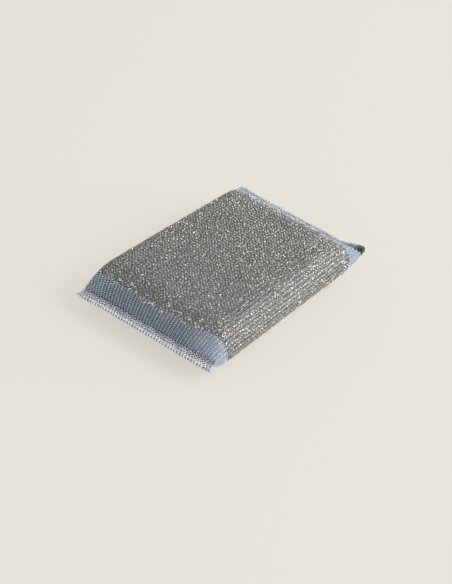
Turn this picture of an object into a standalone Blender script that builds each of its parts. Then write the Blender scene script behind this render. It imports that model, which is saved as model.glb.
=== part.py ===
"""Knitted steel scouring pad, lying flat.

A tube of warp knit is drawn over a foam slab. Metallic yarn is laid in along the middle of
the tube and plain yarn at both ends. Each end is pressed flat into a thin hem, and the tube
flares there into a pointed ear on either side. The pad can't be seen into, so it is one
closed solid with the outer form of the real one: ribs of knit run along it from hem to hem.

The tube runs along Y, from the front hem at -Y to the back hem at +Y. The origin is on the
surface that the pad rests on, below the middle of its length and width.
"""

import math

import bmesh
import bpy
import numpy as np

# Stuffed body, in metres
PAD_LENGTH = 0.1225          # between the outermost edges of the two hems
PAD_HEIGHT = 0.0215          # at the middle of the top
FRONT_WIDTH = 0.0862         # of the body at the front hem
BACK_WIDTH = 0.0824          # of the body at the back hem
CROWN_ACROSS = 0.0007        # how far the top swells between its two long sides
CROWN_ALONG = 0.0004         # how far it swells between the two hems
SIDE_FULLNESS = 0.9          # depth of the rounded side over half the height

# Pressed ends
HEM_DEPTH = 0.0045
HEM_THICKNESS = 0.0016
FRONT_HEM_WIDTH = 0.0856     # from ear tip to ear tip
BACK_HEM_WIDTH = 0.0866
FRONT_HEM_HEIGHT = 0.0079    # middle of the hem above the rest surface
BACK_HEM_HEIGHT = 0.0102
FRONT_SHOULDER = 0.0162      # length over which the hem opens to the full height
BACK_SHOULDER = 0.0150
SHOULDER_FULLNESS = 0.85     # below 1 the shoulder swells out early
BACK_HEM_SLANT = 0.06        # the back hem runs askew, further out at -X

# Ears, the ends of the hems
EAR_ROUNDING = 0.0035        # length over which the hem changes to its depth at the tip
FRONT_TIP_SHARES = (0.75, 0.95)     # depth left at the tips at -X and +X over the hem's own
BACK_TIP_SHARES = (0.6, 1.05)
EAR_LENGTH = 0.016           # length over which an ear rises, droops or curls
FRONT_LEFT_EAR_RISE = -0.0009       # at -X
BACK_LEFT_EAR_RISE = 0.0008
BACK_RIGHT_EAR_RISE = 0.0022        # at +X
BACK_RIGHT_EAR_CURL = math.radians(88)

# Knit
RIB_PITCH = 0.0020           # between neighbouring ribs, around the body
RIB_DEPTH = 0.0007
RIB_DRIFT = 0.0006           # how far ribs stray sideways on the top
RIB_DRIFT_WAVES = 1.5        # from hem to hem
RIB_DRIFT_TURN = 0.8         # by how many waves the ribs at one side lag those at the other
HEM_SCALLOP = 0.0003         # depth of the notch between two ribs in a hem's edge
PRESSED_HEIGHT = 0.0015      # ribs fade out this close to the rest surface
FRONT_PLAIN_LENGTH = 0.0065  # plain yarn from the crease of the hem to the metallic yarn
BACK_PLAIN_LENGTH = 0.0065

# How finely the form is divided
HEM_RINGS = 3
SHOULDER_SHARES = (0.07, 0.2, 0.6, 0.8, 0.92)
MIDDLE_RINGS = 8
OUTLINE_SAMPLES = 120

METALLIC_YARN = {"name": "metallic_yarn", "color": (0.42, 0.40, 0.36), "metallic": 0.8,
                 "roughness": 0.4}
PLAIN_YARN = {"name": "plain_yarn", "color": (0.20, 0.25, 0.32), "metallic": 0.0,
              "roughness": 0.75}


def smooth(t):
    """0 below 0, 1 above 1, and an even passage between."""
    t = min(max(t, 0.0), 1.0)
    return t * t * (3 - 2 * t)


def mix(a, b, share):
    return a + (b - a) * share


class PadEnd:
    """One pressed end of the tube; direction is -1 at the front and 1 at the back."""

    def __init__(self, direction, hem_width, hem_height, shoulder, plain, tip_shares, rises,
                 slant=0.0, curl=0.0):
        self.direction = direction
        self.hem_width = hem_width
        self.hem_height = hem_height
        self.shoulder = shoulder
        self.plain = plain
        self.tip_shares = tip_shares
        self.rises = rises
        self.slant = slant
        self.full_curl = curl
        across = np.linspace(-hem_width / 2, hem_width / 2, OUTLINE_SAMPLES)
        self.reach = PAD_LENGTH / 2 - max(self.depth(x) - slant * x for x in across)

    def depth(self, x):
        """Depth of the hem at x: it changes in a quarter round towards each ear tip."""
        into_tip = (abs(x) - self.hem_width / 2) / EAR_ROUNDING + 1
        into_tip = min(max(into_tip, 0.0), 1.0)
        tip_share = self.tip_shares[0] if x < 0 else self.tip_shares[1]
        return HEM_DEPTH * mix(tip_share, 1.0, math.sqrt(1 - into_tip ** 2))

    def into_ear(self, x):
        """How far x lies into the ear on its side: 0 at the ear's root and 1 at its tip."""
        return smooth((abs(x) - self.hem_width / 2) / EAR_LENGTH + 1)

    def rise(self, x):
        """Height of the ears over the middle of the hem at x."""
        return self.into_ear(x) * (self.rises[0] if x < 0 else self.rises[1])

    def curl(self, x):
        """Angle through which the ear at +X curls upwards at x."""
        return self.full_curl * self.into_ear(x) * self.depth(x) / HEM_DEPTH if x > 0 else 0.0

    def place(self, out, x):
        """Y of the point that lies out from the middle of the pad, on the askew ring there."""
        return self.direction * (out - self.slant * x * out / self.reach)


FRONT = PadEnd(-1, FRONT_HEM_WIDTH, FRONT_HEM_HEIGHT, FRONT_SHOULDER, FRONT_PLAIN_LENGTH,
               FRONT_TIP_SHARES, (FRONT_LEFT_EAR_RISE, 0.0))
BACK = PadEnd(1, BACK_HEM_WIDTH, BACK_HEM_HEIGHT, BACK_SHOULDER, BACK_PLAIN_LENGTH,
              BACK_TIP_SHARES, (BACK_LEFT_EAR_RISE, BACK_RIGHT_EAR_RISE), BACK_HEM_SLANT,
              BACK_RIGHT_EAR_CURL)


def half_outline(half_width, low, high, crown, upper, count, drift=0.0):
    """Upper or lower half of a section: count + 1 points (x, z) from +X to -X.

    They are evenly spaced, or lie off their even places by drift.
    """
    half_height = (high - low) / 2
    middle = (high + low) / 2
    side = SIDE_FULLNESS * half_height
    flat = half_width - side
    sign = 1 if upper else -1
    turn = np.linspace(0, math.pi / 2, OUTLINE_SAMPLES)
    across = np.linspace(flat, -flat, OUTLINE_SAMPLES)[1:-1]
    swell = crown * (1 - (across / flat) ** 2)
    x = np.concatenate((flat + side * np.cos(turn), across, -flat - side * np.sin(turn)))
    z = np.concatenate((middle + sign * half_height * np.sin(turn),
                        middle + sign * half_height + swell,
                        middle + sign * half_height * np.cos(turn)))
    run = np.concatenate(([0.0], np.cumsum(np.hypot(np.diff(x), np.diff(z)))))
    place = np.linspace(0, run[-1], count + 1) + drift
    return np.interp(place, run, x), np.interp(place, run, z)


def rib_drift(end, out, around):
    """How far ribs lie off their even places, by their share of the way round the top."""
    along = end.direction * out / end.reach
    fade = (1 - along ** 2) * np.sin(math.pi * around) ** 2
    phase = RIB_DRIFT_WAVES * along / 2 + RIB_DRIFT_TURN * around
    return RIB_DRIFT * fade * np.sin(2 * math.pi * phase)


def cut_grooves(x, z, depth):
    """Move every second point of a ring inwards, except where the pad is pressed flat."""
    along_x = np.roll(x, -1) - np.roll(x, 1)
    along_z = np.roll(z, -1) - np.roll(z, 1)
    length = np.hypot(along_x, along_z)
    ring = []
    for i in range(len(x)):
        inward = depth * (i % 2) * smooth(z[i] / PRESSED_HEIGHT)
        ring.append((x[i] - inward * along_z[i] / length[i],
                     z[i] + inward * along_x[i] / length[i]))
    return ring


def section(end, out, ribs):
    """Ring of (x, z) round the tube, two points a rib, from its +X side over the top."""
    share = min((end.reach - out) / end.shoulder, 1.0)
    opened = math.sin(math.pi / 2 * share) ** SHOULDER_FULLNESS
    along = 0.5 + end.direction * out / PAD_LENGTH
    body_half_width = mix(FRONT_WIDTH, BACK_WIDTH, along) / 2
    half_width = mix(end.hem_width / 2, body_half_width, opened)
    low = mix(end.hem_height - HEM_THICKNESS / 2, 0.0, opened)
    shoulder_top = PAD_HEIGHT - CROWN_ACROSS - CROWN_ALONG
    swell = CROWN_ALONG * (1 - (out / end.reach) ** 2)
    high = mix(end.hem_height + HEM_THICKNESS / 2, shoulder_top, opened) + swell
    drift = rib_drift(end, out, np.linspace(0, 1, 2 * ribs + 1))
    top_x, top_z = half_outline(half_width, low, high, CROWN_ACROSS * opened, True, 2 * ribs,
                                drift)
    low_x, low_z = half_outline(half_width, low, high, 0.0, False, 2 * ribs)
    x = np.concatenate((top_x, low_x[-2:0:-1]))
    z = np.concatenate((top_z, low_z[-2:0:-1]))
    grooved = cut_grooves(x, z, min(RIB_DEPTH, (high - low) / 4))
    return [(px, pz + end.rise(px) * (1 - opened)) for px, pz in grooved]


def body_ring(end, out, ribs):
    """Ring of (x, y, z) on the stuffed body or at the crease of the hem."""
    return [(x, end.place(out, x), z) for x, z in section(end, out, ribs)]


def hem_ring(end, share, ribs):
    """Ring at a share of the hem's depth, where a bent ear curls upwards."""
    ring = []
    for i, (x, z) in enumerate(section(end, end.reach, ribs)):
        middle = end.hem_height + end.rise(x)
        above = z - middle
        angle = end.curl(x) * share
        depth = end.depth(x) - HEM_SCALLOP * (i % 2)
        out, up = follow_curl(depth, end.curl(x), share)
        y = end.place(end.reach, x) + end.direction * (out - above * math.sin(angle))
        ring.append((x, y, middle + up + above * math.cos(angle)))
    return ring


def follow_curl(depth, curl, share):
    """Distance outwards and upwards at a share of a strip that curls evenly."""
    if curl < 1e-4:
        return depth * share, 0.0
    radius = depth / curl
    return radius * math.sin(curl * share), radius * (1 - math.cos(curl * share))


def end_rings(end, ribs):
    """Rings of one end from the hem's edge to where the body has its full height."""
    rings = [hem_ring(end, i / HEM_RINGS, ribs) for i in range(HEM_RINGS, 0, -1)]
    border = end.plain / end.shoulder
    shares = sorted({0.0, border, 1.0, *SHOULDER_SHARES})
    rings += [body_ring(end, end.reach - share * end.shoulder, ribs) for share in shares]
    plain_bands = HEM_RINGS + shares.index(border)
    return rings, plain_bands


def middle_rings(ribs):
    """Rings between the two shoulders, each half askew like its own end."""
    first = end_start(FRONT)
    last = end_start(BACK)
    rings = []
    for i in range(1, MIDDLE_RINGS + 1):
        y = mix(first, last, i / (MIDDLE_RINGS + 1))
        end = FRONT if y < 0 else BACK
        rings.append(body_ring(end, abs(y), ribs))
    return rings


def end_start(end):
    """Y where the end's shoulder has the full height."""
    return end.direction * (end.reach - end.shoulder)


def rib_count():
    """Ribs on the upper half of the body, and as many below."""
    width = (FRONT_WIDTH + BACK_WIDTH) / 2
    x, z = half_outline(width / 2, 0.0, PAD_HEIGHT, 0.0, True, OUTLINE_SAMPLES)
    return round(float(np.hypot(np.diff(x), np.diff(z)).sum()) / RIB_PITCH)


def yarn_material(yarn):
    material = bpy.data.materials.new(yarn["name"])
    material.use_nodes = True
    shader = material.node_tree.nodes["Principled BSDF"]
    shader.inputs["Base Color"].default_value = (*yarn["color"], 1.0)
    shader.inputs["Metallic"].default_value = yarn["metallic"]
    shader.inputs["Roughness"].default_value = yarn["roughness"]
    return material


def close_hem(mesh, ring):
    """Faces across the thin outer edge of a hem, from its upper to its lower points."""
    count = len(ring)
    for i in range(count // 2):
        corners = [ring[i], ring[i + 1], ring[count - i - 1], ring[-i]]
        mesh.faces.new(list(dict.fromkeys(corners)))


def build_pad():
    ribs = rib_count()
    front, front_plain = end_rings(FRONT, ribs)
    back, back_plain = end_rings(BACK, ribs)
    rings = front + middle_rings(ribs) + back[::-1]

    mesh = bmesh.new()
    loops = [[mesh.verts.new(point) for point in ring] for ring in rings]
    count = len(loops[0])
    for band, (near, far) in enumerate(zip(loops, loops[1:])):
        plain = band < front_plain or band >= len(loops) - 1 - back_plain
        for i in range(count):
            j = (i + 1) % count
            face = mesh.faces.new((near[i], near[j], far[j], far[i]))
            face.material_index = 1 if plain else 0
    for ring in (loops[0], loops[-1]):
        close_hem(mesh, ring)
    for face in mesh.faces[-count:]:
        face.material_index = 1
    bmesh.ops.recalc_face_normals(mesh, faces=mesh.faces)
    bmesh.ops.triangulate(mesh, faces=mesh.faces, quad_method="SHORT_EDGE")

    data = bpy.data.meshes.new("knitted_pad")
    mesh.to_mesh(data)
    mesh.free()
    data.materials.append(yarn_material(METALLIC_YARN))
    data.materials.append(yarn_material(PLAIN_YARN))
    data.shade_smooth()
    data.set_sharp_from_angle(angle=math.radians(50))
    pad = bpy.data.objects.new("knitted_pad", data)
    bpy.context.collection.objects.link(pad)


for old in list(bpy.data.objects):
    bpy.data.objects.remove(old, do_unlink=True)
build_pad()
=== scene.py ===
"""Looks of the knitted scouring pad: every stitch of its sleeve, its hems and its yarns."""

import math
from dataclasses import dataclass

import bmesh
import bpy
import numpy as np
from mathutils import Matrix, Vector


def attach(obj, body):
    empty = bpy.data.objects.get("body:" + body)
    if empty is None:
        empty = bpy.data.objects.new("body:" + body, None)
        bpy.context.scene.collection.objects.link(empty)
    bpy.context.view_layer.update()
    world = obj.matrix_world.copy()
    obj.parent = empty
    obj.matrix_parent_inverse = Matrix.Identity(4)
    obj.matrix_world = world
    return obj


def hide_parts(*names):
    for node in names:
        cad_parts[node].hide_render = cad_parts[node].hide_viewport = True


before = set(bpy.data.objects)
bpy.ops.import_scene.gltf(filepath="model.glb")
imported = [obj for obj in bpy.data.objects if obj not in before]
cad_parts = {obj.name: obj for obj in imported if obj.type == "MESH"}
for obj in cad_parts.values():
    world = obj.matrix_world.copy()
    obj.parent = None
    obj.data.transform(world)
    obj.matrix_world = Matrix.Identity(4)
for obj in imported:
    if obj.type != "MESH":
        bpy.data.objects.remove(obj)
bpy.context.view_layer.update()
MM = 0.001
rng = np.random.default_rng(29)

# Form of the pad, in metres, as in the solid that it is dressed on
PAD_LENGTH = 122.5 * MM
PAD_HEIGHT = 21.5 * MM
FRONT_WIDTH = 86.2 * MM
BACK_WIDTH = 82.4 * MM
CROWN_ACROSS = 0.7 * MM
CROWN_ALONG = 0.4 * MM
SIDE_FULLNESS = 0.9
HEM_DEPTH = 4.5 * MM
HEM_THICKNESS = 1.6 * MM
SHOULDER_FULLNESS = 0.85
EAR_ROUNDING = 3.5 * MM
EAR_LENGTH = 16 * MM
HEM_SCALLOP = 0.3 * MM
PRESSED_HEIGHT = 1.5 * MM    # below this the knit is pressed against what it rests on

# Knit
WALES = 98                   # ribs round the tube
RIB_DEPTH = 0.7 * MM
RIB_DRIFT = 0.6 * MM         # how far ribs stray sideways on the top
RIB_DRIFT_WAVES = 1.5
RIB_DRIFT_TURN = 0.8
SAMPLES_PER_WALE = 4
AROUND = WALES * SAMPLES_PER_WALE
CURVE_POINTS = 120           # on each arc and flat that a section is made from
HEM_STEPS = 10
BODY_STEPS = 110             # from a crease to the middle of the pad
METAL_COURSES = 108
PLAIN_COURSES = 10
EXTRA_COURSES = 2            # that the maps of courses go on beyond each end
PLAIN_LENGTH = 6.3 * MM      # from the crease to the metallic yarn, on the top
SIDE_PLAIN_LENGTH = 1.8 * MM         # how much further it reaches down the sides
BORDER_SPREAD = 0.15 * MM    # how ragged the change of yarn is
SIDE_STARTS = (0.62, 0.8)    # cosines round the tube at which the sides start, at +X and -X
SIDE_BLEND = 0.4

# Camera, from the photo: where it looks from, and the pixel at which its target shows
AZIMUTH = math.radians(40.73)
ELEVATION = math.radians(37.32)
ROLL = math.radians(0.94)
FOCAL_PIXELS = 1187.6
DISTANCE = 584.7 * MM
TARGET = Vector((0, -1.25 * MM, 10 * MM))
TARGET_PIXEL = (226.0, 270.6)
PICTURE = (452, 584)
SENSOR_MM = 36

# Looks of the stage
FLOOR_COLOR = (0.783, 0.761, 0.693)
FLOOR_REACH = 9.0            # metres from its middle to its sides
OWN_COLOR_SHARE = 0.72       # of the floor's look round the pad, rising to all of it far off
NEAR_FLOOR = 0.4             # metres from the pad within which it stays at that share
FAR_FLOOR = 1.1              # and beyond which the floor shows its own colour alone
WORLD_LEVELS = ((0.0, 1.5), (0.2, 1.26), (0.5, 0.64), (1.0, 0.46))   # brightness by height
WORLD_TINT = (1.0, 0.99, 0.96)
SOFTBOX_DIRECTION = (0.72, 0.48, 0.48)
SOFTBOX_DISTANCE = 1.86      # metres
SOFTBOX_SIZE = 1.62
SOFTBOX_POWER = 36.0
SOFTBOX_COLOR = (1.0, 0.985, 0.975)


def smooth(t):
    t = np.clip(t, 0, 1)
    return t * t * (3 - 2 * t)


def mix(a, b, share):
    return a + (b - a) * share


def add_object(name, data):
    made = bpy.data.objects.new(name, data)
    bpy.context.scene.collection.objects.link(made)
    return made


@dataclass
class PadEnd:
    """One pressed end of the tube; pairs are for the ears at -X and +X."""

    direction: int           # -1 at the front and 1 at the back
    hem_width: float
    hem_height: float
    shoulder: float
    tip_shares: tuple
    rises: tuple
    slant: float = 0.0
    full_curl: float = 0.0

    def __post_init__(self):
        across = np.linspace(-self.hem_width / 2, self.hem_width / 2, CURVE_POINTS + 1)
        self.reach = PAD_LENGTH / 2 - np.max(self.depth(across) - self.slant * across)

    def depth(self, x):
        into_tip = np.clip((np.abs(x) - self.hem_width / 2) / EAR_ROUNDING + 1, 0, 1)
        tip_share = np.where(x < 0, *self.tip_shares)
        return HEM_DEPTH * mix(tip_share, 1.0, np.sqrt(1 - into_tip ** 2))

    def into_ear(self, x):
        return smooth((np.abs(x) - self.hem_width / 2) / EAR_LENGTH + 1)

    def rise(self, x):
        return self.into_ear(x) * np.where(x < 0, *self.rises)

    def curl(self, x):
        share = self.into_ear(x) * self.depth(x) / HEM_DEPTH
        return np.where(x > 0, self.full_curl * share, 0.0)

    def place(self, out, x):
        return self.direction * (out - self.slant * x * out / self.reach)


FRONT = PadEnd(direction=-1, hem_width=85.6 * MM, hem_height=7.9 * MM, shoulder=16.2 * MM,
               tip_shares=(0.75, 0.95), rises=(-0.9 * MM, 0.0))
BACK = PadEnd(direction=1, hem_width=86.6 * MM, hem_height=10.2 * MM, shoulder=15.0 * MM,
              tip_shares=(0.6, 1.05), rises=(0.8 * MM, 2.2 * MM), slant=0.06,
              full_curl=math.radians(88))


def rib_drift(end, out):
    """How far ribs lie off their even places on the top, for every sample from +X to -X."""
    along = end.direction * out / end.reach
    around = np.linspace(0, 1, AROUND // 2 + 1)
    fade = (1 - along ** 2) * np.sin(math.pi * around) ** 2
    phase = RIB_DRIFT_WAVES * along / 2 + RIB_DRIFT_TURN * around
    return RIB_DRIFT * fade * np.sin(2 * math.pi * phase)


def half_outline(half_width, low, high, crown, upper, drift=0.0):
    """Upper or lower half of a section, (x, z) from +X to -X, evenly spaced but for drift."""
    half_height = (high - low) / 2
    middle = (high + low) / 2
    side = SIDE_FULLNESS * half_height
    flat = half_width - side
    sign = 1 if upper else -1
    turn = np.linspace(0, math.pi / 2, CURVE_POINTS)
    across = np.linspace(flat, -flat, CURVE_POINTS)[1:-1]
    swell = crown * (1 - (across / flat) ** 2)
    x = np.concatenate((flat + side * np.cos(turn), across, -flat - side * np.sin(turn)))
    z = np.concatenate((middle + sign * half_height * np.sin(turn),
                        middle + sign * half_height + swell,
                        middle + sign * half_height * np.cos(turn)))
    run = np.concatenate(([0.0], np.cumsum(np.hypot(np.diff(x), np.diff(z)))))
    place = np.linspace(0, run[-1], AROUND // 2 + 1) + drift
    return np.interp(place, run, x), np.interp(place, run, z)


def section(end, out):
    """Ring of x and z round the tube at a distance out from the pad's middle."""
    share = min((end.reach - out) / end.shoulder, 1.0)
    opened = math.sin(math.pi / 2 * share) ** SHOULDER_FULLNESS
    along = 0.5 + end.direction * out / PAD_LENGTH
    half_width = mix(end.hem_width / 2, mix(FRONT_WIDTH, BACK_WIDTH, along) / 2, opened)
    low = mix(end.hem_height - HEM_THICKNESS / 2, 0.0, opened)
    shoulder_top = PAD_HEIGHT - CROWN_ACROSS - CROWN_ALONG
    high = mix(end.hem_height + HEM_THICKNESS / 2, shoulder_top, opened)
    high += CROWN_ALONG * (1 - (out / end.reach) ** 2)
    top_x, top_z = half_outline(half_width, low, high, CROWN_ACROSS * opened, True,
                                rib_drift(end, out))
    low_x, low_z = half_outline(half_width, low, high, 0.0, False)
    x = np.concatenate((top_x, low_x[-2:0:-1]))
    z = np.concatenate((top_z, low_z[-2:0:-1]))
    return x, z + end.rise(x) * (1 - opened)


def body_ring(end, out):
    x, z = section(end, out)
    return np.stack((x, end.place(out, x), z), axis=1)


def hem_ring(end, share):
    """Ring at a share of the hem's depth, where a bent ear curls upwards."""
    x, z = section(end, end.reach)
    middle = end.hem_height + end.rise(x)
    above = z - middle
    curl = np.maximum(end.curl(x), 1e-4)     # never quite flat, as the radius is worked out from it
    notch = HEM_SCALLOP * (1 - np.cos(2 * math.pi * np.arange(AROUND) / SAMPLES_PER_WALE)) / 2
    radius = (end.depth(x) - notch) / curl
    out = radius * np.sin(curl * share) - above * np.sin(curl * share)
    up = radius * (1 - np.cos(curl * share)) + above * np.cos(curl * share)
    y = end.place(end.reach, x) + end.direction * out
    return np.stack((x, y, middle + up), axis=1)


def end_rings(end):
    """Rings from the hem's edge to the middle of the pad."""
    rings = [hem_ring(end, 1 - i / HEM_STEPS) for i in range(HEM_STEPS)]
    rings += [body_ring(end, end.reach * (1 - i / BODY_STEPS)) for i in range(BODY_STEPS)]
    return rings


# A station is a ring's number from the front edge to the back edge
surface = np.array(end_rings(FRONT) + end_rings(BACK)[::-1])
STATIONS = len(surface)
FRONT_CREASE = HEM_STEPS
BACK_CREASE = STATIONS - 1 - HEM_STEPS
LAST_PLACE = STATIONS - 1.001        # just short of the back edge, so that one more ring follows


def surface_normals(grid):
    along = np.gradient(grid, axis=0)
    around = np.roll(grid, -1, axis=1) - np.roll(grid, 1, axis=1)
    normal = np.cross(along, around)
    return normal / np.linalg.norm(normal, axis=2, keepdims=True)


normals = surface_normals(surface)
assert normals[STATIONS // 2, AROUND // 4, 2] > 0


def sample(grid, station, around):
    """Values of the grid at fractional stations and places round the tube."""
    station = np.clip(station, 0, LAST_PLACE)
    s0 = np.floor(station).astype(int)
    fs = (station - s0)[..., None]
    a0 = np.floor(around).astype(int)
    fa = (around - a0)[..., None]
    a1 = (a0 + 1) % AROUND
    a0 = a0 % AROUND
    near = grid[s0, a0] * (1 - fa) + grid[s0, a1] * fa
    far = grid[s0 + 1, a0] * (1 - fa) + grid[s0 + 1, a1] * fa
    return near * (1 - fs) + far * fs


def on_side(wale):
    """1 on the pad's two long sides, falling to 0 on its top and underside, sooner at -X."""
    across = np.cos(2 * math.pi * wale / WALES)
    return smooth((np.abs(across) - np.where(across > 0, *SIDE_STARTS)) / SIDE_BLEND)


bead_phase = rng.integers(0, 2, WALES)       # which of each wale's courses are the brighter
ragged = {end.direction: rng.normal(0, BORDER_SPREAD, WALES) for end in (FRONT, BACK)}


def border_station(wale, end):
    """Station where the yarn changes: further from the crease down the sides."""
    length = PLAIN_LENGTH + SIDE_PLAIN_LENGTH * on_side(wale) + ragged[end.direction][int(wale)]
    steps = length / (end.reach / BODY_STEPS)
    return FRONT_CREASE + steps if end is FRONT else BACK_CREASE - steps


def station_at(wale, start, stop, share):
    """Station at a share of the way along a wale's own length between two stations."""
    column = surface[:, int(wale) * SAMPLES_PER_WALE]
    length = np.concatenate(([0.0], np.cumsum(np.linalg.norm(np.diff(column, axis=0), axis=1))))
    index = np.arange(STATIONS)
    ends = np.interp([start, stop], index, length)
    return np.interp(mix(ends[0], ends[1], share), length, index)


def course_map(start_of, stop_of, courses):
    """Stations of every course, as an array of wales by courses with some beyond each end."""
    share = np.arange(-EXTRA_COURSES, courses + EXTRA_COURSES + 1) / courses
    return np.array([station_at(w, start_of(w), stop_of(w), share) for w in range(WALES)])


# Strands


@dataclass
class Leg:
    """How one strand of a stitch lies on the surface, and its own form."""

    start: float             # courses from the stitch's own course to the strand's root
    reach: float             # courses that it spans
    narrow: float            # wales from the middle of its own wale at the root
    wide: float              # and at the head
    height: float            # of its ends over the surface
    lift: float              # of its middle over its ends
    width: float
    thickness: float
    slip: float = 0.0        # spread of where it starts, in courses
    sway: float = 0.0        # spread of its place across, in wales
    lift_spread: float = 0.15
    width_spread: float = 0.1
    twist: float = 6.0       # spread of its turn about its own length, in degrees
    shade: float = 0.0       # spread of how far its tone rises from root to head
    contrast: float = 0.0    # painted glint and shade: how far the tones of a stitch's two strands lie apart, at most
    taut: float = 0.0        # how much closer to the rib's middle it heads on the sides, in wales
    zigzag: float = 0.0      # how far every second one lies aside on the top, in wales
    side_zigzag: float = 0.0             # and on the sides
    sink: float = 0.0        # how much lower every second one lies on the top, over the groove
    beading: float = 0.0     # how much brighter every second one is on the sides
    painted_back_light: float = 0.0             # painted light: how much brighter it gets along the top to the back


LEG_SHARES = np.array([0.0, 0.28, 0.76, 1.0])
LEG_PROFILE = np.array([0.25, 1.0, 0.9, 0.2])
LEG_LIFT = np.array([-0.35, 0.85, 0.75, -0.6])
LEG_SIDES = 4
LEG_SHADE = np.concatenate((np.repeat([-1, 1], LEG_SIDES), [-1, 1]))
PRESSED_DEPTH = 0.34 * MM    # strands lie this far inside the surface where the pad rests
EVEN_PLACE = 0.35            # share of the courses at which the painted light to the back changes nothing


def leg_centres(wale, course, side, course_stations, leg):
    """Centre line of one strand of each stitch, and the surface's normals along it."""
    count = len(wale)
    slip = rng.normal(0, leg.slip, (count, 1))
    place = course[:, None] + leg.start + leg.reach * LEG_SHARES[None, :] + slip
    low = np.clip(np.floor(place).astype(int), 0, course_stations.shape[1] - 2)
    part = place - low
    rows = wale[:, None]
    station = course_stations[rows, low] * (1 - part) + course_stations[rows, low + 1] * part
    wide = leg.wide - leg.taut * on_side(wale)[:, None]
    spread = leg.narrow + (wide - leg.narrow) * np.sin(LEG_SHARES[None, :] * math.pi / 2)
    sway = rng.normal(0, leg.sway, (count, 1))
    zigzag = (course % 2) * mix(leg.zigzag, leg.side_zigzag, on_side(wale))
    across = wale[:, None] + side[:, None] * spread + zigzag[:, None] + sway
    around = across * SAMPLES_PER_WALE
    base = sample(surface, station, around)
    normal = sample(normals, station, around)
    free = smooth(base[..., 2] / PRESSED_HEIGHT)
    lift = LEG_LIFT[None, :] * leg.lift * rng.normal(1, leg.lift_spread, (count, 1))
    lift -= ((course % 2) * (1 - on_side(wale)))[:, None] * leg.sink
    height = mix(-PRESSED_DEPTH, leg.height + lift, free)
    return base + normal * height[..., None], normal


def sweep(centre, normal, width, thickness, twist, profile, sides, looped=False):
    """Closed strands along centre lines, pointed at both ends or joined into loops.

    Returns vertices by strand, and the triangles and quads of one strand.
    """
    count, points = centre.shape[:2]
    if looped:
        tangent = np.roll(centre, -1, axis=1) - np.roll(centre, 1, axis=1)
        rings = slice(0, points)
    else:
        tangent = np.gradient(centre, axis=1)
        rings = slice(1, points - 1)
    tangent = tangent / np.linalg.norm(tangent, axis=2, keepdims=True)
    across = np.cross(tangent, normal)
    across /= np.linalg.norm(across, axis=2, keepdims=True)
    up = np.cross(across, tangent)
    turn = twist[:, None, None]
    wide = (across * np.cos(turn) + up * np.sin(turn))[:, rings, None, :]
    thin = (up * np.cos(turn) - across * np.sin(turn))[:, rings, None, :]
    angle = np.arange(sides) * 2 * math.pi / sides
    half = (width[:, None] / 2 * profile[None, rings])[:, :, None, None]
    deep = (thickness[:, None] / 2 * profile[None, rings])[:, :, None, None]
    ring = centre[:, rings, None, :] + wide * half * np.cos(angle)[None, None, :, None]
    ring = ring + thin * deep * np.sin(angle)[None, None, :, None]
    verts = ring.reshape(count, -1, 3)
    ring_count = verts.shape[1] // sides
    bands = range(ring_count if looped else ring_count - 1)
    quads = []
    for band in bands:
        near = band * sides
        far = (band + 1) % ring_count * sides
        for i in range(sides):
            j = (i + 1) % sides
            quads.append((near + i, far + i, far + j, near + j))
    tris = []
    if not looped:
        root = len(verts[0])
        head = root + 1
        last = (ring_count - 1) * sides
        for i in range(sides):
            j = (i + 1) % sides
            tris.append((root, i, j))
            tris.append((head, last + j, last + i))
        verts = np.concatenate((verts, centre[:, :1], centre[:, -1:]), axis=1)
    return verts, tris, quads


def legs(stitches, course_stations, leg, sides, tones, painted_side_light=0.0, skew=1.0):
    """Strands of stitches given as (wale, course), one for each of the sides -1, 0 or 1.

    Tones lie anywhere between the two given, nearer to the first if skew is over 1.
    """
    stitches = np.array(stitches)
    wale = np.tile(stitches[:, 0], len(sides))
    course = np.tile(stitches[:, 1], len(sides)).astype(float)
    side = np.repeat(np.array(sides, float), len(stitches))
    centre, normal = leg_centres(wale, course, side, course_stations, leg)
    count = len(wale)
    width = leg.width * rng.normal(1, leg.width_spread, count)
    thickness = np.full(count, leg.thickness)
    twist = np.radians(rng.normal(0, leg.twist, count))
    strands = sweep(centre, normal, width, thickness, twist, LEG_PROFILE, LEG_SIDES)
    # Painted light: painted_side_light is added to the tone on the pad's sides, by on_side.
    tone = mix(*tones, rng.random(count) ** skew) + painted_side_light * on_side(wale)
    # Painted glint and shade: one strand of each stitch lighter and the other darker, as a twisted
    # foil strand glints on one side.
    lean = np.tile(rng.uniform(-1, 1, len(stitches)), len(sides)) * side
    tone += np.sign(lean) * np.sqrt(np.abs(lean)) * leg.contrast
    bead = np.where((course + bead_phase[wale]) % 2 > 0.5, 1, -1)
    tone += bead * leg.beading * np.sqrt(on_side(wale))
    # Painted light: the top lighter towards the back, where the light falls harder.
    from_even = course / METAL_COURSES - EVEN_PLACE
    tone += leg.painted_back_light * from_even * (1 - on_side(wale))
    tone = tone[:, None] + rng.normal(0, leg.shade, (count, 1)) * LEG_SHADE[None, :]
    return strands, np.clip(tone, 0, 1)


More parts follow.
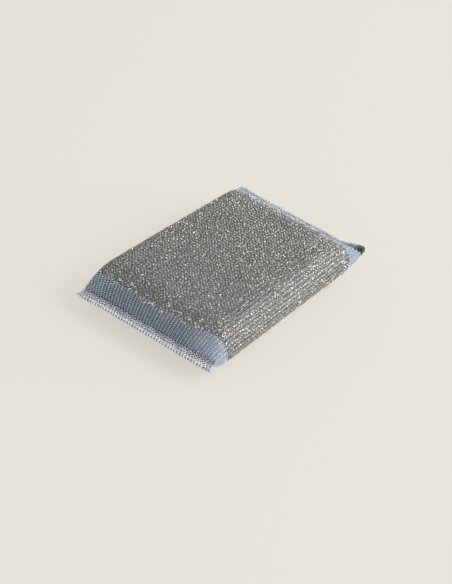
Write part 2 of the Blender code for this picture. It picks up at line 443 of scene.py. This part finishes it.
EAR_WALES = 3.5              # ribs in the part of an ear that has a tone of its own
EAR_TONE = 0.62
BENT_EAR_SHADE_FADE = 1.3          # how steeply a bent ear's tone rises from the painted shade at its tip
BENT_EAR_SHADE_LAG = 0.4          # and how late it starts to, so that the painted shade covers the tip
HEM_STRAY = 0.05             # spread of loops and wraps across, in wales
HEM_WIDTH_SPREAD = 0.1
LOOP_POINTS = 12
LOOP_WIDTH = 0.28 * MM
LOOP_THICKNESS = 0.34 * MM
LOOP_HEIGHT = 0.12 * MM      # of a loop's middle over the hem
LOOP_TILT = 0.10 * MM        # how far it rises and falls from there
LOOP_TURN = 0.6              # radians from its inner end to where it lies highest
LOOP_STRAY = 0.02            # spread of its place, over the hem's depth
HEM_SIDES = 5


def hem_station(end, share):
    """Station at a share of a hem's depth from its outer edge."""
    station = HEM_STEPS * share
    return station if end is FRONT else STATIONS - 1 - station


def eyelets(end, share, long, wide, shift, upper_tones, lower_tones):
    """Rings of yarn along a hem, one for each wale, at a share of its depth from the edge.

    long is half their length over the hem's depth, and wide half their width in wales.
    """
    angle = np.arange(LOOP_POINTS) * 2 * math.pi / LOOP_POINTS
    wale = np.arange(WALES) + shift + rng.normal(0, HEM_STRAY, WALES)
    place = share + rng.normal(0, LOOP_STRAY, (WALES, 1)) + long * np.sin(angle)[None, :]
    station = hem_station(end, place)
    around = (wale[:, None] + wide * np.cos(angle)[None, :]) * SAMPLES_PER_WALE
    normal = sample(normals, station, around)
    height = LOOP_HEIGHT + LOOP_TILT * np.sin(angle + LOOP_TURN)[None, :]
    centre = sample(surface, station, around) + normal * height[..., None]
    width = LOOP_WIDTH * rng.normal(1, HEM_WIDTH_SPREAD, WALES)
    thickness = np.full(WALES, LOOP_THICKNESS)
    strands = sweep(centre, normal, width, thickness, np.zeros(WALES), np.ones(LOOP_POINTS),
                    HEM_SIDES, looped=True)
    tone = np.where(np.arange(WALES) < WALES / 2, rng.uniform(*upper_tones, WALES),
                    rng.uniform(*lower_tones, WALES))
    return strands, ear_tone(end, wale, tone)


def ear_tone(end, wale, tone):
    """Tone of a hem's yarn: a bent ear has painted shade at its tip, and the others are even."""
    if end.full_curl:
        # Painted shade: the bent ear's tone falls to black towards its tip, where it lies in
        # shadow.
        return tone * smooth(wale / EAR_WALES * BENT_EAR_SHADE_FADE - BENT_EAR_SHADE_LAG)
    from_tip = np.minimum(wale, np.abs(WALES / 2 - wale))
    return mix(EAR_TONE, tone, smooth(from_tip / EAR_WALES))


WRAP_POINTS = 11
WRAP_LEG = 0.45 * MM         # straight part of a wrap on either face of the hem
WRAP_STRAIGHTS = 0.8         # steps of a wrap in its straight parts, over those in its bend
WRAP_WIDTH = 0.84 * MM
WRAP_THICKNESS = 0.40 * MM
WRAP_CLEARANCE = 0.05 * MM   # between the hem's faces and the middle of a wrap
WRAP_INSET = 0.8             # how far its bend is centred inside the edge, in its radius
WRAP_TAPER = 0.6             # share of either half at which it starts to narrow
EAR_WRAP_SIZE = 0.5          # of wraps at the tips of the ears


def edge_wraps(end, offset, slant, tones):
    """Strands that wrap the outer edge of a hem, one for each rib and offset wales from it."""
    middle_wales = np.arange(1, WALES // 2) + offset
    count = len(middle_wales)
    step = np.linspace(-1, 1, WRAP_POINTS)[None, :]
    wale = middle_wales[:, None] + slant * step / 2 + rng.normal(0, HEM_STRAY, (count, 1))
    around = np.clip(wale, 0, WALES / 2) * SAMPLES_PER_WALE
    edge = np.full_like(around, 0.0 if end is FRONT else LAST_PLACE)
    inner = edge - 2 * end.direction
    over = sample(surface, edge, around)
    under = sample(surface, edge, AROUND - around)
    middle = (over + under) / 2
    up = (over - under) / np.linalg.norm(over - under, axis=2, keepdims=True)
    further_in = (sample(surface, inner, around) + sample(surface, inner, AROUND - around)) / 2
    out = middle - further_in
    out /= np.linalg.norm(out, axis=2, keepdims=True)
    from_tip = np.minimum(middle_wales, WALES / 2 - middle_wales)
    size = mix(EAR_WRAP_SIZE, 1.0, smooth(from_tip / EAR_WALES))
    radius = ((HEM_THICKNESS / 2 + WRAP_CLEARANCE) * size)[:, None]
    middle = middle - out * (radius * WRAP_INSET)[..., None]
    turned = step * (1 + WRAP_STRAIGHTS)
    bend = np.clip(turned, -1, 1) * math.pi / 2
    straight = np.maximum(np.abs(turned) - 1, 0) / WRAP_STRAIGHTS
    run_back = straight * WRAP_LEG * size[:, None]
    outwards = radius * np.cos(bend) - run_back
    upwards = -radius * np.sin(bend)
    centre = middle + out * outwards[..., None] + up * upwards[..., None]
    normal = out * np.cos(bend)[..., None] - up * np.sin(bend)[..., None]
    width = WRAP_WIDTH * size * rng.normal(1, HEM_WIDTH_SPREAD, count)
    thickness = WRAP_THICKNESS * size
    strands = sweep(centre, normal, width, thickness, np.zeros(count),
                    np.minimum(1, 1 + WRAP_TAPER - np.abs(step[0])), HEM_SIDES)
    return strands, ear_tone(end, middle_wales, rng.uniform(*tones, count))


CORNER_WRAPS = 9
CORNER_START = 0.12          # share of the hem's depth at which the first of them lies
CORNER_REACH = 1.1           # wales that they reach onto either face
CORNER_WRAP_WIDTH = 0.55 * MM
CORNER_WRAP_THICKNESS = 0.32 * MM
CORNER_WRAP_DEPTH = 0.05 * MM        # of their middles under the surface


def corner_wraps(end, tip_wale, tones):
    """Strands round the short side of a hem, at the ear on the given wale, with thin ends."""
    share = np.linspace(CORNER_START, 1.0, CORNER_WRAPS)[:, None]
    across = np.linspace(-CORNER_REACH, CORNER_REACH, WRAP_POINTS)[None, :]
    station = hem_station(end, share + 0 * across)
    around = (tip_wale + across + 0 * share) * SAMPLES_PER_WALE
    normal = sample(normals, station, around)
    centre = sample(surface, station, around) - normal * CORNER_WRAP_DEPTH
    width = np.full(CORNER_WRAPS, CORNER_WRAP_WIDTH)
    thickness = np.full(CORNER_WRAPS, CORNER_WRAP_THICKNESS)
    taper = np.minimum(1, 1.8 - 1.3 * np.abs(across[0]))
    strands = sweep(centre, normal, width, thickness, np.zeros(CORNER_WRAPS), taper, HEM_SIDES)
    return strands, rng.uniform(*tones, CORNER_WRAPS)


def strand_piece(name, batches, material, smooth_shade):
    """One object from batches of strands, each strand with a tone of its own."""
    points = []
    corners = []
    sizes = []
    tones = []
    first = 0
    for (verts, tris, quads), tone in batches:
        count, per_strand = verts.shape[:2]
        offsets = first + np.arange(count)[:, None, None] * per_strand
        for faces in (tris, quads):
            if faces:
                corners.append((np.array(faces)[None] + offsets).ravel())
                sizes.append(np.full(count * len(faces), len(faces[0])))
        points.append(verts.reshape(-1, 3))
        tones.append(np.broadcast_to(tone.reshape(count, -1), (count, per_strand)).ravel())
        first += count * per_strand
    points = np.concatenate(points)
    corners = np.concatenate(corners)
    sizes = np.concatenate(sizes)
    mesh = bpy.data.meshes.new(name)
    mesh.vertices.add(len(points))
    mesh.vertices.foreach_set("co", points.astype(np.float32).ravel())
    mesh.loops.add(len(corners))
    mesh.loops.foreach_set("vertex_index", corners.astype(np.int32))
    mesh.polygons.add(len(sizes))
    starts = np.concatenate(([0], np.cumsum(sizes)[:-1]))
    mesh.polygons.foreach_set("loop_start", starts.astype(np.int32))
    mesh.update(calc_edges=True)
    mesh.validate()
    attribute = mesh.attributes.new("tone", "FLOAT", "POINT")
    attribute.data.foreach_set("value", np.concatenate(tones).astype(np.float32))
    mesh.polygons.foreach_set("use_smooth", np.full(len(sizes), smooth_shade))
    mesh.materials.append(material)
    return add_object(name, mesh)


# Materials


def new_material(name):
    material = bpy.data.materials.new(name)
    material.use_nodes = True
    nodes = material.node_tree.nodes
    return material, nodes, material.node_tree.links, nodes["Principled BSDF"]


def color_ramp(nodes, stops):
    """Ramp from stops of (value, colour)."""
    ramp = nodes.new("ShaderNodeValToRGB")
    elements = ramp.color_ramp.elements
    while len(elements) < len(stops):
        elements.new(0.5)
    for element, (place, color) in zip(elements, stops):
        element.position = place
        element.color = (*color, 1.0)
    return ramp


def attribute_ramp(nodes, links, attribute, stops):
    """Colour by a mesh attribute, from stops of (value, colour)."""
    source = nodes.new("ShaderNodeAttribute")
    source.attribute_name = attribute
    ramp = color_ramp(nodes, stops)
    links.new(source.outputs["Fac"], ramp.inputs["Fac"])
    return ramp.outputs["Color"]


def object_noise(nodes, links, scale):
    coords = nodes.new("ShaderNodeTexCoord")
    noise = nodes.new("ShaderNodeTexNoise")
    noise.inputs["Scale"].default_value = scale
    noise.inputs["Detail"].default_value = 2.0
    links.new(coords.outputs["Object"], noise.inputs["Vector"])
    return noise.outputs["Fac"]


def add_bump(nodes, links, shader, height, strength, distance):
    bump = nodes.new("ShaderNodeBump")
    bump.inputs["Strength"].default_value = strength
    bump.inputs["Distance"].default_value = distance
    links.new(height, bump.inputs["Height"])
    links.new(bump.outputs["Normal"], shader.inputs["Normal"])


def yarn_material(name, stops, roughness, metallic, grain, bump, sheen=0.0):
    """Yarn whose colour and gloss vary from stitch to stitch and along each strand."""
    material, nodes, links, shader = new_material(name)
    links.new(attribute_ramp(nodes, links, "tone", stops), shader.inputs["Base Color"])
    noise = object_noise(nodes, links, grain)
    spread = nodes.new("ShaderNodeMapRange")
    spread.inputs["To Min"].default_value = roughness[0]
    spread.inputs["To Max"].default_value = roughness[1]
    links.new(noise, spread.inputs["Value"])
    links.new(spread.outputs["Result"], shader.inputs["Roughness"])
    shader.inputs["Metallic"].default_value = metallic
    shader.inputs["Sheen Weight"].default_value = sheen
    add_bump(nodes, links, shader, noise, strength=bump, distance=0.1 * MM)
    return material


METAL_ZONE = 0.0             # parts of the ground under the stitches, by colour
# ground under the plain yarn on the sides, painted lighter: painted light in its grooves
LIT_PLAIN_SIDE_ZONE = 0.5
BACK_HEM_ZONE = 0.6
PLAIN_ZONE = 0.7
# dark ground of the front hem, also used as painted shade at the bent ear
DARK_HEM_AND_SHADED_EAR_ZONE = 1.0


def ground_material():
    """The knit behind the stitches: dark between metallic rows, blue-grey at the ends, with painted
    light on the sides and painted shade at the bent ear.
    """
    material, nodes, links, shader = new_material("knit_ground")
    under_metal = (0.10, 0.103, 0.108)
    under_plain = (0.18, 0.21, 0.26)
    # The sides' plain ground, (0.44, 0.505, 0.63), is painted light that lifts the shade in its
    # grooves.
    stops = [(METAL_ZONE, under_metal), (LIT_PLAIN_SIDE_ZONE - 0.05, under_metal),
             (LIT_PLAIN_SIDE_ZONE, (0.44, 0.505, 0.63)), (PLAIN_ZONE, under_plain),
             (PLAIN_ZONE + 0.1, under_plain), (DARK_HEM_AND_SHADED_EAR_ZONE, (0.065, 0.074, 0.095))]
    links.new(attribute_ramp(nodes, links, "zone", stops), shader.inputs["Base Color"])
    shader.inputs["Roughness"].default_value = 0.8
    add_bump(nodes, links, shader, object_noise(nodes, links, 2500), strength=0.7,
             distance=0.2 * MM)
    return material


# Pieces of the sleeve


GROUND_STEP = 2              # stations and samples round the tube from vertex to vertex
GROUND_EDGE = 2              # stations from the hems' edges to the skin's, inside the wraps
GROUND_DEPTH = 0.27 * MM     # of the skin under the surface
HEM_GROUND_DEPTH = 0.17 * MM
HEM_GROOVE_SHARE = 0.4       # of the grooves' depth, in the hems


def build_ground():
    """Closed skin just under the stitches, with a groove between neighbouring wales."""
    stations = np.arange(GROUND_EDGE, STATIONS - GROUND_EDGE, GROUND_STEP)
    stations = np.unique(np.concatenate((stations, [FRONT_CREASE, BACK_CREASE,
                                                    STATIONS - 1 - GROUND_EDGE])))
    around = np.arange(0, AROUND, GROUND_STEP)
    base = surface[np.ix_(stations, around)]
    normal = normals[np.ix_(stations, around)]
    free = smooth(base[..., 2] / PRESSED_HEIGHT)
    groove = (np.arange(len(around)) % 2)[None, :] * (RIB_DEPTH - GROUND_DEPTH) * free
    in_hem = (stations <= FRONT_CREASE) | (stations >= BACK_CREASE)
    depth = np.where(in_hem, HEM_GROUND_DEPTH, GROUND_DEPTH)[:, None]
    depth = depth + groove * np.where(in_hem, HEM_GROOVE_SHARE, 1.0)[:, None]
    verts = base - normal * depth[..., None]
    rows, columns = verts.shape[:2]
    index = np.arange(rows * columns).reshape(rows, columns)
    ahead = np.roll(index, -1, axis=1)
    quads = np.stack((index[:-1], ahead[:-1], ahead[1:], index[1:]), axis=-1).reshape(-1, 4)
    faces = [tuple(q) for q in quads.tolist()]
    for row in (index[0].tolist(), index[-1].tolist()):
        for i in range(columns // 2):
            corners = [row[i], row[i + 1], row[columns - i - 1], row[-i]]
            faces.append(tuple(dict.fromkeys(corners)))
    mesh = bpy.data.meshes.new("knit_ground")
    mesh.from_pydata(verts.reshape(-1, 3).tolist(), [], faces)
    attribute = mesh.attributes.new("zone", "FLOAT", "POINT")
    attribute.data.foreach_set("value", zones(stations, around, in_hem).ravel())
    turn_outwards(mesh)
    mesh.shade_smooth()
    mesh.materials.append(ground_material())
    return add_object("knit_ground", mesh)


def zones(stations, around, in_hem):
    """Zone of every vertex of the ground; the front hem has the dark one, and the bent ear has it
    as painted shade.
    """
    zone = np.zeros((len(stations), len(around)), np.float32)
    for i, a in enumerate(around):
        wale = a // SAMPLES_PER_WALE
        plain = (stations < border_station(wale, FRONT)) | (stations > border_station(wale, BACK))
        # Painted light: the plain ground lightens towards the sides.
        under_plain = mix(PLAIN_ZONE, LIT_PLAIN_SIDE_ZONE, on_side(wale))
        zone[:, i] = np.where(plain, under_plain, METAL_ZONE)
        # The bent ear's ground takes the dark zone as painted shade.
        in_bent_ear = min(wale, WALES - wale) < EAR_WALES
        back_hem = in_hem & (stations > STATIONS / 2)
        zone[back_hem, i] = DARK_HEM_AND_SHADED_EAR_ZONE if in_bent_ear else BACK_HEM_ZONE
    zone[in_hem & (stations < STATIONS / 2)] = DARK_HEM_AND_SHADED_EAR_ZONE
    return zone


def turn_outwards(mesh):
    work = bmesh.new()
    work.from_mesh(mesh)
    bmesh.ops.recalc_face_normals(work, faces=work.faces)
    work.to_mesh(mesh)
    work.free()


METAL_LEG = Leg(start=-0.05, reach=1.1, narrow=0.14, wide=0.36, height=-0.08 * MM,
                lift=0.14 * MM, width=0.54 * MM, thickness=0.16 * MM, slip=0.08, sway=0.04,
                lift_spread=0.25, twist=10, shade=0.05, contrast=0.15, taut=0.05)
METAL_STRIP = Leg(start=0.15, reach=0.66, narrow=-0.16, wide=0.16, height=0.02 * MM,
                  lift=0.14 * MM, width=0.53 * MM, thickness=0.14 * MM, slip=0.12, sway=0.12,
                  lift_spread=0.4, width_spread=0.15, twist=22, zigzag=0.5, side_zigzag=0.20,
                  sink=0.25 * MM, beading=0.19, painted_back_light=0.22)
METAL_FLECK = Leg(start=0.1, reach=0.8, narrow=0.0, wide=0.2, height=0.14 * MM,
                  lift=0.2 * MM, width=0.52 * MM, thickness=0.14 * MM, slip=0.4, sway=0.3,
                  lift_spread=0.4, width_spread=0.2, twist=40)
BORDER_FLECK = Leg(start=-0.7, reach=1.2, narrow=-0.3, wide=0.5, height=0.2 * MM,
                   lift=0.25 * MM, width=0.38 * MM, thickness=0.16 * MM, slip=1.1, sway=0.4,
                   lift_spread=0.4, width_spread=0.2, twist=30)
PLAIN_LEG = Leg(start=-0.10, reach=1.25, narrow=0.10, wide=0.36, height=-0.12 * MM,
                lift=0.10 * MM, width=0.50 * MM, thickness=0.22 * MM, slip=0.04, sway=0.02)
PLAIN_BEAD = Leg(start=0.0, reach=0.6, narrow=0.0, wide=0.0, height=0.06 * MM,
                 lift=0.14 * MM, width=0.74 * MM, thickness=0.30 * MM, slip=0.04, sway=0.02)
METAL_LEG_TONES = (0.10, 0.25)
METAL_STRIP_TONES = (0.51, 1.0)
# Flecks are near-white: painted glints of the foil yarn.
FLECK_TONES = (0.9, 1.0)
PLAIN_LEG_TONES = (0.0, 0.31)
PLAIN_BEAD_TONES = (0.65, 0.95)
# Painted glints: more flecks towards the back and on the sides, where the light falls harder.
FLECK_SHARES = (0.03, 0.25)  # of the stitches at the front and at the back
SIDE_FLECK_SHARE = 0.13      # as many more on the sides, at the back
SIDE_FLECK_EASE = 0.6        # and at the front this part of them
BORDER_FLECK_SHARE = 0.24    # of those within a few courses of the plain yarn
BORDER_COURSES = 5


def is_fleck(wale, course):
    """Whether a stitch also throws up a bright fleck, a painted glint, oftener at the back and on
    the sides.
    """
    from_front = course / METAL_COURSES
    share = mix(*FLECK_SHARES, from_front)
    share += SIDE_FLECK_SHARE * mix(SIDE_FLECK_EASE, 1.0, from_front) * on_side(wale)
    return rng.random() < share


def is_border_fleck(course):
    """Whether a stitch throws up a large fleck, as some do next to the plain yarn."""
    from_end = min(course, METAL_COURSES - 1 - course)
    return from_end < BORDER_COURSES and rng.random() < BORDER_FLECK_SHARE


def leaning_ways(stitches):
    """The stitches by which way, -1 or 1, each of them leans."""
    turned = rng.random(len(stitches)) < 0.5
    return {1: [stitch for stitch, left in zip(stitches, turned) if not left],
            -1: [stitch for stitch, left in zip(stitches, turned) if left]}


def build_metal_knit(name, wales, courses, material):
    stitches = [(wale, course) for wale in wales for course in range(METAL_COURSES)]
    placed = [(wale, course + EXTRA_COURSES) for wale, course in stitches]
    flecks = [(wale, course + EXTRA_COURSES) for wale, course in stitches
              if is_fleck(wale, course)]
    border_flecks = [(wale, course + EXTRA_COURSES) for wale, course in stitches
                     if is_border_fleck(course)]
    leaning = leaning_ways(placed)
    # Painted light on the sides: the metallic legs a little lighter, the strips a little darker so
    # their lit highlights stay below white.
    batches = [legs(placed, courses, METAL_LEG, (-1, 1), METAL_LEG_TONES, painted_side_light=0.02),
               legs(flecks, courses, METAL_FLECK, (0,), FLECK_TONES)]
    batches += [legs(some, courses, BORDER_FLECK, (side,), FLECK_TONES)
                for side, some in leaning_ways(border_flecks).items() if some]
    batches += [legs(some, courses, METAL_STRIP, (side,), METAL_STRIP_TONES, painted_side_light=-0.04,
                     skew=2.2)
                for side, some in leaning.items()]
    return strand_piece(name, batches, material, False)


def build_plain_knit(name, courses, material):
    stitches = [(wale, course + EXTRA_COURSES) for wale in range(WALES)
                for course in range(PLAIN_COURSES)]
    # Painted light: the plain yarn is painted much lighter on the sides.
    batches = [legs(stitches, courses, PLAIN_LEG, (-1, 1), PLAIN_LEG_TONES, painted_side_light=0.48),
               legs(stitches, courses, PLAIN_BEAD, (0,), PLAIN_BEAD_TONES, painted_side_light=0.1)]
    return strand_piece(name, batches, material, True)


# Rows of loops by place, half length, half width and shift, as eyelets takes them
LOOP_ROWS = ((0.12, 0.13, 0.36, 0.5), (0.41, 0.15, 0.36, 0.0), (0.76, 0.17, 0.35, 0.5))
PALE_TONES = (0.6, 1.0)
DARK_TONES = (0.56, 0.72)
FRONT_WRAP_TONES = ((0.8, 1.0), (0.22, 0.38))        # on the ribs and between them
BACK_WRAP_TONES = ((0.6, 0.74), (0.52, 0.62))
FRONT_EAR_TONES = ((0.48, 0.56), (0.5, 0.6))         # at +X and at -X
# At +X the corner wraps of the bent ear are near black: painted shade.
BACK_EAR_TONES = ((0.05, 0.15), (0.5, 0.6))


def build_hem_knit(name, end, material):
    """Hem with pale loops on one face, the upper one at the front, and darker on the other."""
    if end is FRONT:
        upper, lower = PALE_TONES, DARK_TONES
        on_ribs, between = FRONT_WRAP_TONES
        right_ear, left_ear = FRONT_EAR_TONES
    else:
        upper, lower = DARK_TONES, PALE_TONES
        on_ribs, between = BACK_WRAP_TONES
        right_ear, left_ear = BACK_EAR_TONES
    batches = [eyelets(end, *row, upper, lower) for row in LOOP_ROWS]
    batches += [edge_wraps(end, 0.0, 0.15, on_ribs), edge_wraps(end, 0.5, 0.1, between),
                corner_wraps(end, 0, right_ear), corner_wraps(end, WALES // 2, left_ear)]
    if end is FRONT:
        batches.append(thread_end())
    return strand_piece(name, batches, material, True)


THREAD_RUN = np.array([-0.75, -1.6, -0.1]) * MM      # from the ear's tip to the thread's end
THREAD_WIDTH = 0.42 * MM
THREAD_TONE = 0.15


def thread_end():
    """Loose end of yarn at the front ear at -X."""
    tip = surface[0, AROUND // 2]
    share = np.array([-0.6, 0.0, 0.35, 0.7, 1.0])[:, None]
    line = tip + share * THREAD_RUN
    normal = np.tile([0.0, 0.0, 1.0], (1, len(line), 1))
    width = np.array([THREAD_WIDTH])
    strand = sweep(line[None], normal, width, width, np.zeros(1), np.array([1, 1, 1, 0.8, 0.5]), 6)
    return strand, np.array([THREAD_TONE])


def build_sleeve():
    """Every piece of the knit, by name and material slot."""
    metal_yarn = yarn_material(
        "metallic_yarn",
        [(0.0, (0.17, 0.175, 0.185)), (0.5, (0.475, 0.475, 0.465)), (0.85, (0.79, 0.775, 0.74)),
         (1.0, (1.0, 0.975, 0.92))],
        roughness=(0.3, 0.6), metallic=0.4, grain=3500, bump=0.6)
    plain_yarn = yarn_material(
        "plain_yarn",
        [(0.0, (0.185, 0.226, 0.292)), (0.5, (0.325, 0.388, 0.495)), (1.0, (0.79, 0.865, 0.98))],
        roughness=(0.55, 0.8), metallic=0.0, grain=6000, bump=0.5, sheen=0.2)
    hem_yarn = yarn_material(
        "hem_yarn",
        [(0.0, (0.07, 0.073, 0.082)), (0.45, (0.33, 0.385, 0.465)), (0.7, (0.74, 0.80, 0.88)),
         (1.0, (0.96, 0.985, 1.0))],
        roughness=(0.45, 0.75), metallic=0.0, grain=5000, bump=0.5, sheen=0.2)
    metal_courses = course_map(lambda w: border_station(w, FRONT),
                               lambda w: border_station(w, BACK), METAL_COURSES)
    front_courses = course_map(lambda w: FRONT_CREASE, lambda w: border_station(w, FRONT),
                               PLAIN_COURSES)
    back_courses = course_map(lambda w: border_station(w, BACK), lambda w: BACK_CREASE,
                              PLAIN_COURSES)
    quarters = {"right_upper": range(0, 25), "left_upper": range(25, 50),
                "left_lower": range(50, 74), "right_lower": range(74, WALES)}
    pieces = [(build_metal_knit("metal_knit_" + quarter, wales, metal_courses, metal_yarn),
               "metallic_yarn") for quarter, wales in quarters.items()]
    pieces.append((build_plain_knit("plain_knit_front", front_courses, plain_yarn), "plain_yarn"))
    pieces.append((build_plain_knit("plain_knit_back", back_courses, plain_yarn), "plain_yarn"))
    pieces.append((build_hem_knit("hem_knit_front", FRONT, hem_yarn), "hem_yarn"))
    pieces.append((build_hem_knit("hem_knit_back", BACK, hem_yarn), "hem_yarn"))
    return pieces


ground = build_ground()
for piece, slot in [(ground, "plain_yarn"), *build_sleeve()]:
    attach(piece, "root")
    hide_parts("knitted_pad")


# Stage


def seen_or_mirrored(nodes, links):
    """1 for rays from the camera and for what mirrors or passes them on, and otherwise 0."""
    rays = nodes.new("ShaderNodeLightPath")
    seen = rays.outputs["Is Camera Ray"]
    for ray in ("Is Glossy Ray", "Is Transmission Ray"):
        either = nodes.new("ShaderNodeMath")
        either.operation = "ADD"
        links.new(seen, either.inputs[0])
        links.new(rays.outputs[ray], either.inputs[1])
        seen = either.outputs["Value"]
    return seen


def build_floor():
    """Pale floor, which partly keeps its own colour where it is seen or mirrored."""
    material, nodes, links, shader = new_material("floor")
    shader.inputs["Base Color"].default_value = (*FLOOR_COLOR, 1.0)
    shader.inputs["Roughness"].default_value = 0.9
    shader.inputs["Specular IOR Level"].default_value = 0.0
    own_color = nodes.new("ShaderNodeEmission")
    own_color.inputs["Color"].default_value = (*FLOOR_COLOR, 1.0)
    coords = nodes.new("ShaderNodeTexCoord")
    away = nodes.new("ShaderNodeVectorMath")
    away.operation = "LENGTH"
    links.new(coords.outputs["Object"], away.inputs[0])
    share = nodes.new("ShaderNodeMapRange")
    share.inputs["From Min"].default_value = NEAR_FLOOR
    share.inputs["From Max"].default_value = FAR_FLOOR
    share.inputs["To Min"].default_value = OWN_COLOR_SHARE
    links.new(away.outputs["Value"], share.inputs["Value"])
    part = nodes.new("ShaderNodeMath")
    part.operation = "MULTIPLY"
    links.new(seen_or_mirrored(nodes, links), part.inputs[0])
    links.new(share.outputs["Result"], part.inputs[1])
    blend = nodes.new("ShaderNodeMixShader")
    links.new(part.outputs["Value"], blend.inputs["Fac"])
    links.new(shader.outputs["BSDF"], blend.inputs[1])
    links.new(own_color.outputs["Emission"], blend.inputs[2])
    links.new(blend.outputs["Shader"], nodes["Material Output"].inputs["Surface"])
    mesh = bpy.data.meshes.new("floor")
    corners = [(-FLOOR_REACH, -FLOOR_REACH, 0), (FLOOR_REACH, -FLOOR_REACH, 0),
               (FLOOR_REACH, FLOOR_REACH, 0), (-FLOOR_REACH, FLOOR_REACH, 0)]
    mesh.from_pydata(corners, [], [(0, 1, 2, 3)])
    mesh.materials.append(material)
    floor = add_object("floor", mesh)


def add_softbox():
    data = bpy.data.lights.new("softbox", "AREA")
    data.shape = "DISK"
    data.size = SOFTBOX_SIZE
    data.energy = SOFTBOX_POWER
    data.color = SOFTBOX_COLOR
    lamp = add_object("softbox", data)
    toward = Vector(SOFTBOX_DIRECTION).normalized()
    lamp.location = toward * SOFTBOX_DISTANCE
    lamp.rotation_euler = toward.to_track_quat("Z", "Y").to_euler()


def add_world():
    """Studio walls and ceiling, which have the floor's colour where seen or mirrored."""
    world = bpy.data.worlds.new("studio")
    world.use_nodes = True
    nodes = world.node_tree.nodes
    links = world.node_tree.links
    coords = nodes.new("ShaderNodeTexCoord")
    split = nodes.new("ShaderNodeSeparateXYZ")
    links.new(coords.outputs["Generated"], split.inputs["Vector"])
    ramp = color_ramp(nodes, [(height, [level * tint for tint in WORLD_TINT])
                              for height, level in WORLD_LEVELS])
    links.new(split.outputs["Z"], ramp.inputs["Fac"])
    links.new(ramp.outputs["Color"], nodes["Background"].inputs["Color"])
    own_color = nodes.new("ShaderNodeBackground")
    own_color.inputs["Color"].default_value = (*FLOOR_COLOR, 1.0)
    blend = nodes.new("ShaderNodeMixShader")
    links.new(seen_or_mirrored(nodes, links), blend.inputs["Fac"])
    links.new(nodes["Background"].outputs["Background"], blend.inputs[1])
    links.new(own_color.outputs["Background"], blend.inputs[2])
    links.new(blend.outputs["Shader"], nodes["World Output"].inputs["Surface"])
    bpy.context.scene.world = world


def add_camera():
    """Camera on the photo's side of the pad, with its target at TARGET_PIXEL."""
    back = Vector((math.sin(AZIMUTH) * math.cos(ELEVATION),
                   -math.cos(AZIMUTH) * math.cos(ELEVATION), math.sin(ELEVATION)))
    level = Vector((math.cos(AZIMUTH), math.sin(AZIMUTH), 0))
    upright = back.cross(level)
    right = level * math.cos(ROLL) + upright * math.sin(ROLL)
    up = upright * math.cos(ROLL) - level * math.sin(ROLL)
    per_pixel = DISTANCE / FOCAL_PIXELS
    location = TARGET + back * DISTANCE
    location -= right * (TARGET_PIXEL[0] - PICTURE[0] / 2) * per_pixel
    location += up * (TARGET_PIXEL[1] - PICTURE[1] / 2) * per_pixel
    data = bpy.data.cameras.new("camera")
    data.lens = FOCAL_PIXELS * SENSOR_MM / PICTURE[1]
    data.clip_start = 0.01
    camera = add_object("camera", data)
    turn = Matrix((right, up, back)).transposed().to_4x4()
    camera.matrix_world = Matrix.Translation(location) @ turn
    bpy.context.scene.camera = camera


build_floor()
add_world()
add_softbox()
add_camera()
bpy.context.scene.view_settings.view_transform = "Standard"
